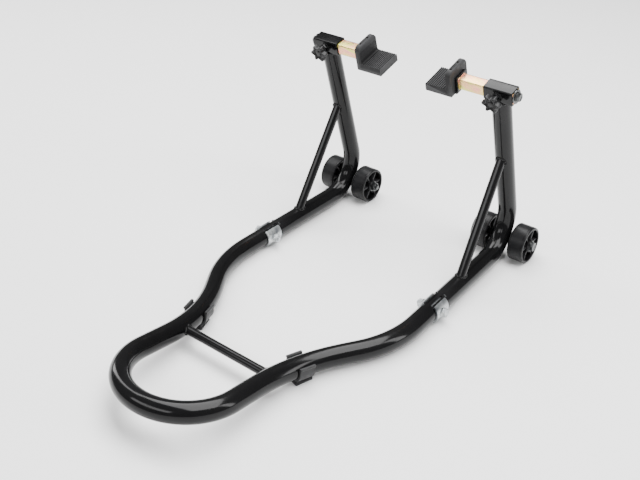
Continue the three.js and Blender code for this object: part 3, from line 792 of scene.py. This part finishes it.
def slide():
    outer = SLEEVE_OUT + 0.5
    body = "{side}_pad"
    tilted_pair("square_slide", square_tube(SLIDE_INNER_X - 0.2, outer, SLIDE, 2.2, 2.0), "yellow_zinc", body,
                "slide_tube_{side}")
    tilted_pair("wide_washer", ring_plate(outer + 0.1, outer + 2.2, 12.0, 4.2), "silver_zinc", body,
                "stop_washer_{side}", finish=FASTENER)
    bolt = merge(ring_plate(outer + 2.2, outer + 3.6, 8.2, 4.0), hex_head(outer + 3.6, outer + 8.2, 13),
                 plain_shank(outer - 16, outer + 4, 3.9, 32))
    tilted_pair("end_bolt", bolt, "silver_zinc", body, "stop_bolt_{side}", finish=FASTENER)
    loop = [vec(SLIDE_INNER_X - 0.3, p[1], p[2]) for p in rounded_square(SLIDE + 0.6, 2.6, 0)]
    tilted_pair("slide_weld", bead(loop, 0.9, ripple=1.4), "yellow_zinc", body)


def plate_outline():
    out = SLIDE_INNER_X - GAP
    inside, floor = out - PLATE, PAD_BOTTOM + PLATE_FLOOR
    bend = 5.0
    outer_bend = [(out - bend + bend * math.cos(t), PAD_BOTTOM + bend - bend * math.sin(t))
                  for t in np.linspace(0, math.pi / 2, 8)]
    return [(out, PLATE_TOP)] + outer_bend + [(LEDGE_X + 4, PAD_BOTTOM), (LEDGE_X + 4, floor),
                                              (inside, floor), (inside, PLATE_TOP)]


def rubber_section(top):
    """Outline of the L-shaped pad in the XZ plane, ribbed along its ledge and wall."""
    under = PAD_BOTTOM + 0.3
    back = SLIDE_INNER_X - GAP - PLATE - GAP
    wall = back - RUBBER_WALL
    points = [(back - 1.0, under), (back, under + 1.0), (back, top - 1.4), (back - 1.4, top),
              (wall + 1.4, top), (wall, top - 1.4)]
    for i in range(WALL_LINES):
        z = min(PAD_TOP - 12.0 - i * WALL_LINE_PITCH, top - 2.2 - i * 0.05)
        points += [(wall, z), (wall + 0.5, z - 0.35), (wall + 0.5, z - 0.85), (wall, z - 1.2)]
    points += [(wall, LEDGE_TOP + 2.4), (wall - 0.7, LEDGE_TOP + 0.7), (wall - 2.4, LEDGE_TOP)]
    for i in range(RIBS):
        x = wall - 4.2 - i * RIB_PITCH
        points += [(x, LEDGE_TOP), (x - 0.3, LEDGE_TOP - 1.7), (x - 1.5, LEDGE_TOP - 1.7),
                   (x - 1.8, LEDGE_TOP)]
    points += [(LEDGE_X + 1.2, LEDGE_TOP), (LEDGE_X, LEDGE_TOP - 1.2), (LEDGE_X, under + 1.0),
               (LEDGE_X + 1.0, under)]
    return points


def support_pad():
    body = "{side}_pad"
    plate = loft([[vec(x, y, z) for x, z in plate_outline()] for y in (-PLATE_HALF, PLATE_HALF)])
    tilted_pair("pad_angle", plate, "black_paint", body, "pad_plate_{side}", bevel=0.6)

    rings = []
    flat = PAD_HALF - PAD_CORNER
    turns = np.linspace(0, math.pi / 2, 12)
    rows = [(flat + PAD_CORNER * math.sin(t), PAD_CORNER * (1 - math.cos(t))) for t in turns]
    for y, drop in [(-y, drop) for y, drop in rows[::-1]] + rows:
        rings.append([vec(x, y, z) for x, z in rubber_section(PAD_TOP - drop)])
    middle = SLIDE_INNER_X - 2 * GAP - PLATE - RUBBER_WALL / 2
    drill = [moved(turned([(-9, 0), (-9, 1.9), (3, 1.9), (3, 0)], 28),
                   Matrix.Translation((middle, y, PAD_TOP)) @ Matrix.Rotation(-math.pi / 2, 4, "Y"))
             for y in PAD_HOLES]
    pads = tilted_pair("ribbed_pad", loft(rings), "pad_rubber", body, "pad_rubber_{side}", sharp=30)
    hole = moved(merge(*drill), ON_HEAD)
    for thing, cutter in zip(pads, (hole, mirrored(hole))):
        cut_away(thing, cutter, 30.0)


handle()
foot()
joint()
leg()
wheels()
head()
slide()
support_pad()

for node_name in ("joint_spigot_", "slide_plug_"):
    for side_name, _ in SIDES:
        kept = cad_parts[node_name + side_name]
        kept.data.materials.clear()
        kept.data.materials.append(SILVER)


# ------------------------------------------------------------- floor and light
FLOOR_HALF, FLOOR_Z = 6.0, -0.0005    # metres; just under the feet
CAMERA_AT, CAMERA_TILT, CAMERA_TURN = (0.7999, -0.9796, 0.9392), 90 - 27.08, 39.01
CAMERA_LENS, CAMERA_SHIFT = 53.37, (0.0152, -0.1448)
WORLD_STRENGTH = 0.26
# name, place, target, width, height, watts
LAMPS = (
    ("overhead", (0.2, 0.5, 2.6), (0, 0, 0), 4.2, 1.8, 250),
    ("front_fill", (-0.3, -2.4, 1.9), (0, -0.1, 0.1), 3.0, 0.8, 50),
    ("left_strip", (-2.2, 0.1, 1.5), (0, 0, 0.1), 0.5, 2.4, 34),
    ("right_strip", (2.4, 0.9, 1.3), (0, 0.1, 0.1), 0.5, 2.0, 30))


def floor():
    corners = [(x * FLOOR_HALF, y * FLOOR_HALF, FLOOR_Z) for x, y in ((-1, -1), (1, -1), (1, 1), (-1, 1))]
    mesh = bpy.data.meshes.new("studio_floor")
    mesh.from_pydata(corners, [], [(0, 1, 2, 3)])
    thing = bpy.data.objects.new("studio_floor", mesh)
    bpy.context.scene.collection.objects.link(thing)
    material, surface = shader("studio_floor", specular=0.2)
    tone = ramp(material, noise_field(material, 0.6, 2), [(0.3, 0.93), (0.7, 0.95)])
    link(material, tone, surface.inputs["Base Color"])
    surface.inputs["Roughness"].default_value = 0.6
    mesh.materials.append(material)


def area_light(name, place, target, width, height, watts):
    data = bpy.data.lights.new(name, "AREA")
    data.shape = "RECTANGLE"
    data.size, data.size_y = width, height
    data.energy = watts
    lamp = bpy.data.objects.new(name, data)
    lamp.location = place
    lamp.rotation_euler = (Vector(target) - Vector(place)).to_track_quat("-Z", "Y").to_euler()
    bpy.context.scene.collection.objects.link(lamp)


def lights():
    world = bpy.data.worlds.new("studio_world")
    world.use_nodes = True
    world.node_tree.nodes["Background"].inputs["Color"].default_value = (1, 1, 1, 1)
    world.node_tree.nodes["Background"].inputs["Strength"].default_value = WORLD_STRENGTH
    bpy.context.scene.world = world
    for lamp in LAMPS:
        area_light(*lamp)


def camera():
    data = bpy.data.cameras.new("photo_view")
    data.sensor_width = 36.0
    data.lens = CAMERA_LENS
    data.shift_x, data.shift_y = CAMERA_SHIFT
    data.clip_start = 0.05
    thing = bpy.data.objects.new("photo_view", data)
    thing.location = CAMERA_AT
    thing.rotation_euler = (math.radians(CAMERA_TILT), 0, math.radians(CAMERA_TURN))
    bpy.context.scene.collection.objects.link(thing)
    bpy.context.scene.camera = thing


floor()
lights()
camera()
